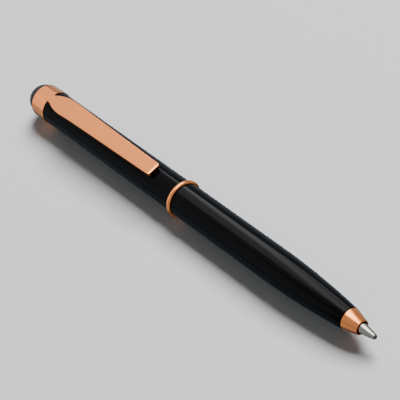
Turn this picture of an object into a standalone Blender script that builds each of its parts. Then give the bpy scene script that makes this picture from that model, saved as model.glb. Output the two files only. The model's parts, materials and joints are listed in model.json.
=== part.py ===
"""Twist-action retractable ballpoint pen with a rubber stylus dome on its tail.

The pen lies along X with its writing tip towards +X and its clip on top, towards +Z. Z = 0 is the
lowest flat of the centre ring, and X = 0 is half way along the pen. The refill is out, ready to write.

Lengths below are in millimetres. Each turned piece is drawn as an outline of (x, radius) points, where
x is the place along the pen and radius is the distance from its axis, and is then spun round the axis.
"""

import math

import bmesh
import bpy
from mathutils import Matrix, Vector

MM = 0.001

# ---------------------------------------------------------------- driving dimensions
OVERALL_LENGTH = 134.0
TIP_X = OVERALL_LENGTH / 2
TAIL_X = -OVERALL_LENGTH / 2

UPPER_RADIUS = 4.5
UPPER_WALL = 0.55
LOWER_RADIUS = 4.6
LOWER_WALL = 0.6

RING_X = -3.6
RING_WIDTH = 1.2
RING_RADIUS = 5.2
RING_LAND = 0.4

TAPER_X = 30.0
NOSE_X = 58.0
NOSE_RADIUS = 3.0
NIB_FRONT_X = 62.3
NIB_FRONT_RADIUS = 1.92

BAND_FRONT_X = -57.6
BAND_BACK_X = -62.8
BAND_FRONT_RADIUS = 4.7
BAND_BACK_RADIUS = 4.52
DOME_RADIUS = 4.2

CLIP_END_X = -12.4
CLIP_FLEX_X = -56.5
CLIP_TOP = 5.9

TWIST_DEGREES = 120.0
REFILL_TRAVEL = 5.2
PIN_X = -16.0

# ---------------------------------------------------------------- fits
STATIC_GAP = 0.05
RUNNING_GAP = 0.1
FACE_GAP = 0.05

# ---------------------------------------------------------------- chamfers, and how far a cutter overshoots
EDGE_BREAK = 0.15
CHAMFER = 0.2
LEAD_IN = 0.3
OVERSHOOT = 0.5

# ---------------------------------------------------------------- fineness of round shapes
FINE = 32
MEDIUM = 32
SMALL = 24
COARSE = 16

# The centre ring is the widest round piece, and one of its flats is what the pen stands on.
AXIS_Z = RING_RADIUS * math.cos(math.pi / FINE)

# ---------------------------------------------------------------- colours: base colour, roughness, metallic
FINISHES = {
    "black_lacquer": ((0.006, 0.006, 0.008), 0.08, 0.0),
    "rose_gold": ((0.90, 0.52, 0.36), 0.16, 1.0),
    "stylus_rubber": ((0.012, 0.012, 0.013), 0.55, 0.0),
    "brass": ((0.80, 0.62, 0.28), 0.30, 1.0),
    "spring_steel": ((0.62, 0.62, 0.64), 0.25, 1.0),
    "white_acetal": ((0.85, 0.84, 0.80), 0.45, 0.0),
    "black_acetal": ((0.03, 0.03, 0.03), 0.45, 0.0),
    "nickel_silver": ((0.74, 0.72, 0.68), 0.18, 1.0),
    "carbide": ((0.20, 0.20, 0.22), 0.12, 1.0),
    "blue_ink": ((0.01, 0.02, 0.16), 0.30, 0.0),
}


def clear_scene():
    for old in list(bpy.data.objects):
        bpy.data.objects.remove(old, do_unlink=True)


def finish_named(name):
    """The Principled material of that name, made the first time it is asked for."""
    material = bpy.data.materials.get(name)
    if material is None:
        colour, roughness, metallic = FINISHES[name]
        material = bpy.data.materials.new(name)
        material.use_nodes = True
        shader = material.node_tree.nodes["Principled BSDF"]
        shader.inputs["Base Color"].default_value = (*colour, 1.0)
        shader.inputs["Roughness"].default_value = roughness
        shader.inputs["Metallic"].default_value = metallic
    return material


def empty_at(name, place_mm, parent=None):
    """An empty that marks a joint. place_mm is measured from its parent."""
    empty = bpy.data.objects.new(name, None)
    empty.empty_display_size = 4 * MM
    empty.location = Vector(place_mm) * MM
    empty.parent = parent
    bpy.context.scene.collection.objects.link(empty)
    return empty


def object_from(bm, name, finish, parent):
    """Turns a bmesh drawn in millimetres into an object with its finish, under its joint's empty."""
    bmesh.ops.scale(bm, vec=(MM, MM, MM), verts=bm.verts)
    bmesh.ops.recalc_face_normals(bm, faces=bm.faces)
    mesh = bpy.data.meshes.new(name)
    bm.to_mesh(mesh)
    bm.free()
    mesh.shade_smooth()
    mesh.set_sharp_from_angle(angle=math.radians(30))
    piece = bpy.data.objects.new(name, mesh)
    piece.parent = parent
    bpy.context.scene.collection.objects.link(piece)
    if finish:
        mesh.materials.append(finish_named(finish))
    return piece


def as_cutter(piece):
    """Marks a helper that only cuts or joins, so it is never a part of the pen."""
    piece.hide_render = True
    piece.display_type = "WIRE"
    return piece


def combine(piece, other, operation):
    """A Boolean on the piece with a helper object, kept live as a modifier."""
    modifier = piece.modifiers.new(f"{operation.lower()}_{other.name}", "BOOLEAN")
    modifier.operation = operation
    modifier.solver = "EXACT"
    modifier.object = as_cutter(other)
    return piece


def spun(outline, segments):
    """A bmesh of the outline spun round the X axis.

    An outline that starts and ends on the axis makes a solid bar. Any other is closed into a loop and
    makes a tube or a ring. A flat of the polygon, not a corner, faces straight down and straight up.
    """
    bm = bmesh.new()
    half_step = math.pi / segments
    start = Vector((0, math.sin(half_step), -math.cos(half_step)))
    points = [bm.verts.new((x, *(radius * start.yz))) for x, radius in outline]
    for first, second in zip(points, points[1:]):
        bm.edges.new((first, second))
    is_bar = outline[0][1] == 0 and outline[-1][1] == 0
    if not is_bar:
        bm.edges.new((points[-1], points[0]))
    bmesh.ops.spin(
        bm,
        geom=bm.verts[:] + bm.edges[:],
        cent=(0, 0, 0),
        axis=(1, 0, 0),
        angle=2 * math.pi,
        steps=segments,
        use_merge=True,
    )
    bmesh.ops.remove_doubles(bm, verts=bm.verts, dist=1e-4)
    return bm


def turned(name, outline, segments, finish, parent):
    return object_from(spun(outline, segments), name, finish, parent)


def block(name, low, high, parent):
    """A plain box between two corners, for cutting."""
    bm = bmesh.new()
    size = Vector(high) - Vector(low)
    middle = (Vector(high) + Vector(low)) / 2
    matrix = Matrix.Translation(middle) @ Matrix.Diagonal((*size, 1))
    bmesh.ops.create_cube(bm, size=1, matrix=matrix)
    return object_from(bm, name, None, parent)


def arc(centre_x, centre_radius, radius, start_degrees, end_degrees, steps):
    """Points of a circular arc in an outline. 0 degrees points to +X and 90 away from the axis."""
    points = []
    for i in range(steps + 1):
        angle = math.radians(start_degrees + (end_degrees - start_degrees) * i / steps)
        points.append((centre_x + radius * math.cos(angle), centre_radius + radius * math.sin(angle)))
    return points


# ---------------------------------------------------------------- lower half: barrel, ring and nib
LOWER_BACK_X = RING_X + RING_WIDTH / 2 + FACE_GAP
LOWER_BORE = LOWER_RADIUS - LOWER_WALL
NIB_SPIGOT_RADIUS = 2.35
NIB_SPIGOT_X = 52.0
NIB_BORE = 1.5
NIB_MOUTH_RADIUS = 1.7
NIB_MOUTH_DEPTH = 1.0


def lower_radius_at(x):
    """The lower barrel is straight as far as TAPER_X, then curves in on one arc to the nose."""
    run = NOSE_X - TAPER_X
    drop = LOWER_RADIUS - NOSE_RADIUS
    bend = (run**2 + drop**2) / (2 * drop)
    ahead = max(0.0, x - TAPER_X)
    return LOWER_RADIUS - (bend - math.sqrt(bend**2 - ahead**2))


def make_lower_barrel(parent):
    """Lacquered tube whose wall follows the taper inside too. The nib's spigot fits in its nose."""
    taper_steps = 9
    outline = [(LOWER_BACK_X, LOWER_RADIUS - EDGE_BREAK), (LOWER_BACK_X + EDGE_BREAK, LOWER_RADIUS)]
    for i in range(taper_steps + 1):
        x = TAPER_X + (NOSE_X - EDGE_BREAK - TAPER_X) * i / taper_steps
        outline.append((x, lower_radius_at(x)))
    outline.append((NOSE_X, NOSE_RADIUS - EDGE_BREAK))
    seat = NIB_SPIGOT_RADIUS + STATIC_GAP
    seat_x = NIB_SPIGOT_X - 1.0
    inner_x = (seat_x, 44.0, 36.0)
    outline += [(NOSE_X, seat), (seat_x, seat)]
    outline += [(x, lower_radius_at(x) - LOWER_WALL) for x in inner_x]
    outline.append((LOWER_BACK_X, LOWER_BORE))
    return turned("lower_barrel", outline, FINE, "black_lacquer", parent)


def make_centre_ring(parent):
    """A thin ring that stands proud of both barrels and hides their joint.

    Its rim is rounded at both corners, with a narrow flat land between them.
    """
    half = RING_WIDTH / 2
    corner = half - RING_LAND / 2
    centre_radius = RING_RADIUS - corner
    back_corner = arc(RING_X - RING_LAND / 2, centre_radius, corner, 180, 90, 3)
    front_corner = arc(RING_X + RING_LAND / 2, centre_radius, corner, 90, 0, 3)
    outline = [(RING_X - half, LOWER_BORE), *back_corner, *front_corner, (RING_X + half, LOWER_BORE)]
    return turned("centre_ring", outline, FINE, "rose_gold", parent)


def make_nib(parent):
    """The metal nose cone: a spigot pressed into the barrel, a taper and a flared mouth."""
    back = NOSE_X + FACE_GAP
    lip = (NIB_FRONT_RADIUS - NIB_MOUTH_RADIUS) / 2
    rounded_lip = arc(NIB_FRONT_X - lip, NIB_MOUTH_RADIUS + lip, lip, 80, -90, 5)
    outline = [
        (NIB_SPIGOT_X, NIB_SPIGOT_RADIUS - LEAD_IN),
        (NIB_SPIGOT_X + LEAD_IN, NIB_SPIGOT_RADIUS),
        (back, NIB_SPIGOT_RADIUS),
        (back, NOSE_RADIUS - EDGE_BREAK),
        (back + EDGE_BREAK, NOSE_RADIUS),
        *rounded_lip,
        (NIB_FRONT_X - NIB_MOUTH_DEPTH, NIB_BORE),
        (NIB_SPIGOT_X + LEAD_IN, NIB_BORE),
        (NIB_SPIGOT_X, NIB_BORE + LEAD_IN),
    ]
    return turned("nib", outline, FINE, "rose_gold", parent)


# ---------------------------------------------------------------- twist mechanism
SLEEVE_FRONT_X = 12.0
SLEEVE_BACK_X = -26.8
SLEEVE_PRESS_RADIUS = LOWER_BORE - 0.08
SLEEVE_TURN_RADIUS = 3.8
SLEEVE_BORE = 3.1
SLEEVE_FRONT_BORE = 2.35
SLEEVE_STEP_X = -10.0
GROOVE_X = -7.1
GROOVE_WIDTH = 1.0
GROOVE_RADIUS = 3.1
CORD_RADIUS = 0.39
CORD_MIDDLE = 3.52

CAM_RADIUS = 3.0
CAM_BORE = 2.3
CAM_FRONT_X = SLEEVE_STEP_X - FACE_GAP
CAM_SHOULDER_X = -24.0
CAM_TAIL_RADIUS = 2.45
CAM_TAIL_X = -36.0
CAM_FLAT = 1.95
CAM_FLAT_FRONT_X = -27.4
WASHER_THICKNESS = 0.4
WASHER_BORE = 2.55
WASHER_RADIUS = 3.0
RETAINER_THICKNESS = 0.8
RETAINER_RADIUS = 3.3
RETAINER_BORE = 2.6
RETAINER_SPLIT = 1.2

PIN_RADIUS = 0.6
PIN_HALF_LENGTH = 3.65
FOLLOWER_RADIUS = 2.2
FOLLOWER_FRONT_X = -7.0
FOLLOWER_BACK_X = PIN_X - 2.0
SOCKET_RADIUS = 1.65
SOCKET_DEPTH = 5.8

WASHER_FRONT_X = CAM_SHOULDER_X - FACE_GAP
WASHER_BACK_X = WASHER_FRONT_X - WASHER_THICKNESS
RETAINER_FRONT_X = WASHER_BACK_X - FACE_GAP
RETAINER_BACK_X = RETAINER_FRONT_X - RETAINER_THICKNESS


def make_mechanism_sleeve(parent):
    """Brass guide tube, pressed in the lower barrel and carrying the upper one on its back half.

    Two straight slots hold the follower's pin so that it slides and never turns.
    """
    groove_front = GROOVE_X + GROOVE_WIDTH / 2
    groove_back = GROOVE_X - GROOVE_WIDTH / 2
    step_x = RING_X - RING_WIDTH / 2
    retainer_groove = RETAINER_RADIUS + STATIC_GAP
    outline = [
        (SLEEVE_FRONT_X, SLEEVE_PRESS_RADIUS - LEAD_IN),
        (SLEEVE_FRONT_X - LEAD_IN, SLEEVE_PRESS_RADIUS),
        (step_x, SLEEVE_PRESS_RADIUS),
        (step_x, SLEEVE_TURN_RADIUS),
        (groove_front, SLEEVE_TURN_RADIUS),
        (groove_front, GROOVE_RADIUS),
        (groove_back, GROOVE_RADIUS),
        (groove_back, SLEEVE_TURN_RADIUS),
        (SLEEVE_BACK_X + CHAMFER, SLEEVE_TURN_RADIUS),
        (SLEEVE_BACK_X, SLEEVE_TURN_RADIUS - CHAMFER),
        (SLEEVE_BACK_X, SLEEVE_BORE),
        (RETAINER_BACK_X - STATIC_GAP, SLEEVE_BORE),
        (RETAINER_BACK_X - STATIC_GAP, retainer_groove),
        (RETAINER_FRONT_X + STATIC_GAP / 2, retainer_groove),
        (RETAINER_FRONT_X + STATIC_GAP / 2, SLEEVE_BORE),
        (SLEEVE_STEP_X, SLEEVE_BORE),
        (SLEEVE_STEP_X, SLEEVE_FRONT_BORE),
        (SLEEVE_FRONT_X, SLEEVE_FRONT_BORE),
    ]
    sleeve = turned("mechanism_sleeve", outline, MEDIUM, "brass", parent)
    slot_half = PIN_RADIUS + RUNNING_GAP
    slot = block(
        "guide_slot_cutter",
        (PIN_X - REFILL_TRAVEL - slot_half, -UPPER_RADIUS, -slot_half),
        (PIN_X + slot_half, UPPER_RADIUS, slot_half),
        parent,
    )
    return combine(sleeve, slot, "DIFFERENCE")


def helix_cutter(name, start_degrees, parent):
    """The swept bar that cuts one helical slot of the cam.

    It starts at PIN_X and winds back by the refill's travel over the twist. At each end it runs on by
    overrun, in degrees, so that the pin never touches the slot's end.
    """
    overrun = 26.0
    advance = -REFILL_TRAVEL / TWIST_DEGREES
    half_width = 1.12
    steps = 16
    inner, outer = CAM_BORE - OVERSHOOT, CAM_RADIUS + OVERSHOOT
    first_x = PIN_X - overrun * advance
    bm = bmesh.new()
    corners = [
        bm.verts.new((first_x - half_width, inner, 0)),
        bm.verts.new((first_x + half_width, inner, 0)),
        bm.verts.new((first_x + half_width, outer, 0)),
        bm.verts.new((first_x - half_width, outer, 0)),
    ]
    bm.faces.new(corners)
    turn = Matrix.Rotation(math.radians(start_degrees - overrun), 4, "X")
    bmesh.ops.transform(bm, matrix=turn, verts=bm.verts)
    sweep = TWIST_DEGREES + 2 * overrun
    bmesh.ops.spin(
        bm,
        geom=bm.verts[:] + bm.edges[:] + bm.faces[:],
        cent=(0, 0, 0),
        axis=(1, 0, 0),
        dvec=(advance * sweep / steps, 0, 0),
        angle=math.radians(sweep),
        steps=steps,
    )
    return object_from(bm, name, None, parent)


def make_cam_tube(parent):
    """Acetal tube turned by the upper barrel. Its two helical slots push the follower's pin along."""
    vent = 1.2
    follower_room = 0.4
    bore_end_x = FOLLOWER_BACK_X - REFILL_TRAVEL - follower_room
    outline = [
        (CAM_FRONT_X, CAM_RADIUS - CHAMFER),
        (CAM_FRONT_X - CHAMFER, CAM_RADIUS),
        (CAM_SHOULDER_X, CAM_RADIUS),
        (CAM_SHOULDER_X, CAM_TAIL_RADIUS),
        (CAM_TAIL_X + LEAD_IN, CAM_TAIL_RADIUS),
        (CAM_TAIL_X, CAM_TAIL_RADIUS - LEAD_IN),
        (CAM_TAIL_X, vent),
        (bore_end_x, vent),
        (bore_end_x, CAM_BORE),
        (CAM_FRONT_X, CAM_BORE),
    ]
    cam = turned("cam_tube", outline, MEDIUM, "white_acetal", parent)
    for number, start in enumerate((0, 180), 1):
        combine(cam, helix_cutter(f"cam_slot_cutter_{number}", start, parent), "DIFFERENCE")
    for number, side in enumerate((-1, 1), 1):
        near, far = sorted((side * CAM_FLAT, side * UPPER_RADIUS))
        flat = block(
            f"cam_flat_cutter_{number}",
            (CAM_TAIL_X - OVERSHOOT, near, -UPPER_RADIUS),
            (CAM_FLAT_FRONT_X, far, UPPER_RADIUS),
            parent,
        )
        combine(cam, flat, "DIFFERENCE")
    return cam


def make_thrust_washer(parent):
    """A flat washer between the cam's shoulder and its retaining ring."""
    outline = [
        (WASHER_BACK_X, WASHER_BORE),
        (WASHER_BACK_X, WASHER_RADIUS),
        (WASHER_FRONT_X, WASHER_RADIUS),
        (WASHER_FRONT_X, WASHER_BORE),
    ]
    return turned("thrust_washer", outline, MEDIUM, "black_acetal", parent)


def make_retaining_ring(parent):
    """A snap ring in a groove of the sleeve, split so that it can be squeezed in."""
    outline = [
        (RETAINER_BACK_X, RETAINER_BORE),
        (RETAINER_BACK_X, RETAINER_RADIUS),
        (RETAINER_FRONT_X, RETAINER_RADIUS),
        (RETAINER_FRONT_X, RETAINER_BORE),
    ]
    ring = turned("retaining_ring", outline, MEDIUM, "spring_steel", parent)
    gap = block(
        "retaining_ring_gap_cutter",
        (RETAINER_BACK_X - OVERSHOOT, -RETAINER_SPLIT / 2, 0),
        (RETAINER_FRONT_X + OVERSHOOT, RETAINER_SPLIT / 2, UPPER_RADIUS),
        parent,
    )
    return combine(ring, gap, "DIFFERENCE")


def make_friction_ring(parent):
    """A rubber ring in the sleeve's groove that gives the twist its drag."""
    outline = arc(GROOVE_X, CORD_MIDDLE, CORD_RADIUS, 0, 315, 7)
    return turned("friction_ring", outline, MEDIUM, "stylus_rubber", parent)


def make_follower(parent):
    """Acetal slider: a socket for the refill's plug in front and a cross hole for the pin."""
    outline = [
        (FOLLOWER_BACK_X, 0),
        (FOLLOWER_BACK_X, FOLLOWER_RADIUS - CHAMFER),
        (FOLLOWER_BACK_X + CHAMFER, FOLLOWER_RADIUS),
        (FOLLOWER_FRONT_X - CHAMFER, FOLLOWER_RADIUS),
        (FOLLOWER_FRONT_X, FOLLOWER_RADIUS - CHAMFER),
        (FOLLOWER_FRONT_X, SOCKET_RADIUS),
        (FOLLOWER_FRONT_X - SOCKET_DEPTH, SOCKET_RADIUS),
        (FOLLOWER_FRONT_X - SOCKET_DEPTH, 0),
    ]
    follower = turned("follower", outline, SMALL, "black_acetal", parent)
    reach = FOLLOWER_RADIUS + OVERSHOOT
    hole = cross_bar("pin_hole_cutter", PIN_RADIUS + STATIC_GAP, reach, None, parent)
    return combine(follower, hole, "DIFFERENCE")


def cross_bar(name, radius, half_length, finish, parent):
    """A round bar across the pen along Y at PIN_X."""
    bm = bmesh.new()
    upright_to_y = Matrix.Translation((PIN_X, 0, 0)) @ Matrix.Rotation(math.pi / 2, 4, "X")
    bmesh.ops.create_cone(
        bm,
        cap_ends=True,
        segments=COARSE,
        radius1=radius,
        radius2=radius,
        depth=2 * half_length,
        matrix=upright_to_y,
    )
    return object_from(bm, name, finish, parent)


# ---------------------------------------------------------------- refill
PLUG_RADIUS = 1.55
PLUG_BACK_X = FOLLOWER_FRONT_X - SOCKET_DEPTH + 0.2
PLUG_COLLAR_X = FOLLOWER_FRONT_X + 0.1
PLUG_COLLAR_LENGTH = 1.8
PLUG_COLLAR_RADIUS = 2.1
PLUG_SPIGOT_LENGTH = 4.0
TUBE_RADIUS = 1.6
TUBE_BORE = 1.25
TUBE_BACK_X = PLUG_COLLAR_X + PLUG_COLLAR_LENGTH + FACE_GAP
TUBE_FRONT_X = 47.5
TIP_SPIGOT_RADIUS = TUBE_BORE - STATIC_GAP
TIP_SPIGOT_LENGTH = 4.0
TIP_BODY_RADIUS = 1.4
TIP_CONE_X = 62.3
TIP_END_RADIUS = 0.75
TIP_RIM_RADIUS = 0.64
TIP_RIM_BORE = 0.578
TIP_RIM_AHEAD = 0.2
BALL_RADIUS = 0.6
BALL_X = TIP_X - BALL_RADIUS
INK_BACK_X = 8.0


def make_refill_plug(parent):
    """Ribbed plastic plug that closes the ink tube and pushes into the follower. It is vented."""
    vent = 0.4
    front = TUBE_BACK_X - FACE_GAP
    spigot_end = front + PLUG_SPIGOT_LENGTH
    between_ribs = PLUG_RADIUS - 0.12
    ribs = 4
    pitch = 1.2
    outline = [(PLUG_BACK_X, PLUG_RADIUS - LEAD_IN)]
    for i in range(ribs):
        x = PLUG_BACK_X + LEAD_IN + i * pitch
        outline += [(x, PLUG_RADIUS), (x + pitch / 2, PLUG_RADIUS)]
        outline += [(x + pitch / 2, between_ribs), (x + pitch * 0.95, between_ribs)]
    outline += [
        (PLUG_COLLAR_X, between_ribs),
        (PLUG_COLLAR_X, PLUG_COLLAR_RADIUS),
        (front, PLUG_COLLAR_RADIUS),
        (front, TIP_SPIGOT_RADIUS),
        (spigot_end, TIP_SPIGOT_RADIUS),
        (spigot_end, vent),
        (PLUG_BACK_X, vent),
    ]
    return turned("refill_plug", outline, SMALL, "black_acetal", parent)


def make_refill_tube(parent):
    """Brass tube that holds the ink between the plug and the point."""
    outline = [
        (TUBE_BACK_X, TUBE_BORE),
        (TUBE_BACK_X, TUBE_RADIUS),
        (TUBE_FRONT_X - CHAMFER, TUBE_RADIUS),
        (TUBE_FRONT_X, TUBE_RADIUS - CHAMFER),
        (TUBE_FRONT_X, TUBE_BORE),
    ]
    return turned("refill_tube", outline, SMALL, "brass", parent)


def make_ink_column(parent):
    """The ink, from the point's spigot back to where the tube is still empty."""
    front = TUBE_FRONT_X - TIP_SPIGOT_LENGTH - FACE_GAP
    radius = TUBE_BORE - STATIC_GAP
    outline = [(INK_BACK_X, 0), (INK_BACK_X, radius), (front, radius), (front, 0)]
    return turned("ink_column", outline, COARSE, "blue_ink", parent)


def make_refill_tip(parent):
    """The writing point: a spigot in the ink tube, a long neck, a cone and the ball's crimped seat."""
    ink_way = 0.5
    feed = 0.22
    feed_length = 2.0
    seat = BALL_RADIUS + 0.03
    spigot_back = TUBE_FRONT_X - TIP_SPIGOT_LENGTH
    outline = [
        (spigot_back, TIP_SPIGOT_RADIUS),
        (TUBE_FRONT_X + FACE_GAP, TIP_SPIGOT_RADIUS),
        (TUBE_FRONT_X + FACE_GAP, TIP_BODY_RADIUS),
        (TIP_CONE_X, TIP_BODY_RADIUS),
        (BALL_X - BALL_RADIUS / 2, TIP_END_RADIUS),
        (BALL_X + TIP_RIM_AHEAD, TIP_RIM_RADIUS),
        (BALL_X + TIP_RIM_AHEAD, TIP_RIM_BORE),
        *arc(BALL_X, 0, seat, 78, 150, 4),
        (BALL_X - seat, feed),
        (BALL_X - feed_length, feed),
        (BALL_X - feed_length - LEAD_IN, ink_way),
        (spigot_back, ink_way),
    ]
    return turned("refill_tip", outline, SMALL, "nickel_silver", parent)


def make_writing_ball(parent):
    """The carbide ball. Its origin is its centre, which is where it rolls."""
    rim = arc(0, 0, BALL_RADIUS, 162, 18, 8)
    outline = [(-BALL_RADIUS, 0), *rim, (BALL_RADIUS, 0)]
    return turned("writing_ball", outline, SMALL, "carbide", parent)


# ---------------------------------------------------------------- upper half: barrel, bushes, band and stylus
UPPER_FRONT_X = RING_X - RING_WIDTH / 2 - RUNNING_GAP
UPPER_BORE = UPPER_RADIUS - UPPER_WALL
BARREL_TAIL_X = -60.0
BARREL_TAIL_RADIUS = 4.25
BUSH_RADIUS = UPPER_BORE - 0.07
DRIVE_FRONT_X = -28.0
DRIVE_BACK_X = -35.5
TAIL_BUSH_FRONT_X = -52.0
TAIL_BUSH_BORE = 2.25

BAND_LIP_X = BARREL_TAIL_X - FACE_GAP
BAND_LIP_THICKNESS = 0.55
BAND_LIP_BORE = 3.3
HOLDER_FLANGE_X = BAND_LIP_X - BAND_LIP_THICKNESS - FACE_GAP
HOLDER_FLANGE_THICKNESS = 0.65
HOLDER_FLANGE_RADIUS = 4.18
HOLDER_NECK = 2.6
HOLDER_HEAD = 3.05
DOME_CENTRE_X = TAIL_X + DOME_RADIUS
DOME_FRONT_X = HOLDER_FLANGE_X - HOLDER_FLANGE_THICKNESS - FACE_GAP
DOME_LIP_LENGTH = 0.9
DOME_WALL = 0.9


def make_upper_barrel(parent):
    """Lacquered tube, turned down at the tail so that the clip's band sits on it."""
    shoulder_x = BAND_FRONT_X + FACE_GAP
    outline = [
        (UPPER_FRONT_X, UPPER_BORE),
        (UPPER_FRONT_X, UPPER_RADIUS - EDGE_BREAK),
        (UPPER_FRONT_X - EDGE_BREAK, UPPER_RADIUS),
        (shoulder_x, UPPER_RADIUS),
        (shoulder_x, BARREL_TAIL_RADIUS),
        (BARREL_TAIL_X, BARREL_TAIL_RADIUS),
        (BARREL_TAIL_X, UPPER_BORE),
    ]
    return turned("upper_barrel", outline, FINE, "black_lacquer", parent)


def make_drive_bush(parent):
    """Bush pressed in the upper barrel. Its two flats grip the cam's tail and turn it."""
    outline = [
        (DRIVE_BACK_X, 0),
        (DRIVE_BACK_X, BUSH_RADIUS - LEAD_IN),
        (DRIVE_BACK_X + LEAD_IN, BUSH_RADIUS),
        (DRIVE_FRONT_X - LEAD_IN, BUSH_RADIUS),
        (DRIVE_FRONT_X, BUSH_RADIUS - LEAD_IN),
        (DRIVE_FRONT_X, 0),
    ]
    bush = turned("drive_bush", outline, MEDIUM, "black_acetal", parent)
    bore = CAM_TAIL_RADIUS + STATIC_GAP
    key_half = CAM_FLAT + STATIC_GAP
    back, front = DRIVE_BACK_X - OVERSHOOT, DRIVE_FRONT_X + OVERSHOOT
    bm = spun([(back, 0), (back, bore), (front, bore), (front, 0)], MEDIUM)
    for vert in bm.verts:
        vert.co.y = max(-key_half, min(key_half, vert.co.y))
    return combine(bush, object_from(bm, "drive_bore_cutter", None, parent), "DIFFERENCE")


def make_tail_bush(parent):
    """Brass bush in the tail of the upper barrel. The stylus holder screws into it."""
    back = BARREL_TAIL_X + 0.2
    outline = [
        (TAIL_BUSH_FRONT_X, TAIL_BUSH_BORE),
        (TAIL_BUSH_FRONT_X, BUSH_RADIUS - LEAD_IN),
        (TAIL_BUSH_FRONT_X - LEAD_IN, BUSH_RADIUS),
        (back, BUSH_RADIUS),
        (back, TAIL_BUSH_BORE + LEAD_IN),
        (back + LEAD_IN, TAIL_BUSH_BORE),
    ]
    return turned("tail_bush", outline, MEDIUM, "brass", parent)


def make_stylus_holder(parent):
    """Screwed post whose flange pins the band to the barrel and whose head holds the rubber dome."""
    shank = TAIL_BUSH_BORE - STATIC_GAP
    shank_end = TAIL_BUSH_FRONT_X - 1.5
    flange_back = HOLDER_FLANGE_X - HOLDER_FLANGE_THICKNESS
    head_x = DOME_FRONT_X - DOME_LIP_LENGTH - FACE_GAP
    head_end = head_x - 0.9
    outline = [
        (shank_end, 0),
        (shank_end, shank - LEAD_IN),
        (shank_end - LEAD_IN, shank),
        (HOLDER_FLANGE_X, shank),
        (HOLDER_FLANGE_X, HOLDER_FLANGE_RADIUS),
        (flange_back, HOLDER_FLANGE_RADIUS),
        (flange_back, HOLDER_NECK),
        (head_x, HOLDER_NECK),
        (head_x, HOLDER_HEAD),
        (head_end + LEAD_IN, HOLDER_HEAD),
        (head_end, HOLDER_HEAD - LEAD_IN),
        (head_end, 0),
    ]
    return turned("stylus_holder", outline, MEDIUM, "brass", parent)


def make_stylus_dome(parent):
    """Hollow rubber half-ball on a short skirt, with an inner lip that snaps behind the post's head."""
    lip_bore = HOLDER_NECK + STATIC_GAP
    cavity = DOME_RADIUS - DOME_WALL
    lip_back = DOME_FRONT_X - DOME_LIP_LENGTH
    outer = arc(DOME_CENTRE_X, 0, DOME_RADIUS, 168.75, 90, 7)
    inner = arc(DOME_CENTRE_X, 0, cavity, 90, 165, 5)
    outline = [(TAIL_X, 0), *outer, (DOME_FRONT_X, DOME_RADIUS)]
    outline += [(DOME_FRONT_X, lip_bore), (lip_back, lip_bore), (lip_back, cavity)]
    outline += [*inner, (TAIL_X + DOME_WALL, 0)]
    return turned("stylus_dome", outline, FINE, "stylus_rubber", parent)


# ---------------------------------------------------------------- clip: band and spring arm
CLIP_SHEET = 0.5
CLIP_NECK_WIDTH = 2.6
CLIP_WIDE_WIDTH = 5.6
CLIP_WIDE_X = -50.5
CLIP_END_WIDTH = 3.9
CLIP_ROOT_TOP = 5.15
CLIP_LEVEL_X = -45.0
CLIP_SKIRT = 1.1
CLIP_FLEX_HEIGHT = CLIP_ROOT_TOP - CLIP_SHEET / 2
CLIP_FLEX_GAP = 0.1
CLIP_EDGE = 0.25
CLIP_ROUND_LENGTH = 0.4
CLIP_ROUND_DROP = 0.2
TOE_THICKNESS = 0.55
TOE_INSET = 0.05
TOE_GAP = 0.08


def make_clip_band(parent):
    """The clip's band: a tapered sleeve over the barrel's tail, with the root of the clip on top."""
    bore = BARREL_TAIL_RADIUS + STATIC_GAP
    rear_bore = DOME_RADIUS + STATIC_GAP
    lip_back = BAND_LIP_X - BAND_LIP_THICKNESS
    outline = [
        (BAND_FRONT_X, bore),
        (BAND_FRONT_X, BAND_FRONT_RADIUS - EDGE_BREAK),
        (BAND_FRONT_X - EDGE_BREAK, BAND_FRONT_RADIUS),
        (BAND_BACK_X + CHAMFER, BAND_BACK_RADIUS),
        (BAND_BACK_X, BAND_BACK_RADIUS - CHAMFER),
        (BAND_BACK_X, rear_bore),
        (lip_back, rear_bore),
        (lip_back, BAND_LIP_BORE),
        (BAND_LIP_X, BAND_LIP_BORE),
        (BAND_LIP_X, bore),
    ]
    band = turned("clip_band", outline, FINE, "rose_gold", parent)
    return combine(band, clip_root(parent), "UNION")


def clip_root(parent):
    """A ramp that rises from the band's back edge to the arm's height and clears the barrel in front."""
    half = CLIP_NECK_WIDTH / 2
    front = CLIP_FLEX_X - CLIP_FLEX_GAP
    clear = UPPER_RADIUS + RUNNING_GAP
    ramp_back = BAND_BACK_X + 0.6
    ramp_knee = BAND_FRONT_X - 1.8
    buried_x = BAND_FRONT_X - 0.8
    buried = BAND_FRONT_RADIUS - 0.3
    side_outline = [
        (ramp_back, BAND_BACK_RADIUS - CHAMFER),
        (ramp_knee, CLIP_ROOT_TOP - CHAMFER),
        (BAND_FRONT_X, CLIP_ROOT_TOP),
        (front, CLIP_ROOT_TOP),
        (front, clear),
        (BAND_FRONT_X - CHAMFER, clear),
        (buried_x, buried),
    ]
    bm = bmesh.new()
    face = bm.faces.new([bm.verts.new((x, -half, z)) for x, z in side_outline])
    swept = bmesh.ops.extrude_face_region(bm, geom=[face])
    moved = [item for item in swept["geom"] if isinstance(item, bmesh.types.BMVert)]
    bmesh.ops.translate(bm, vec=(0, 2 * half, 0), verts=moved)
    return object_from(bm, "clip_root_joiner", None, parent)


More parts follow.
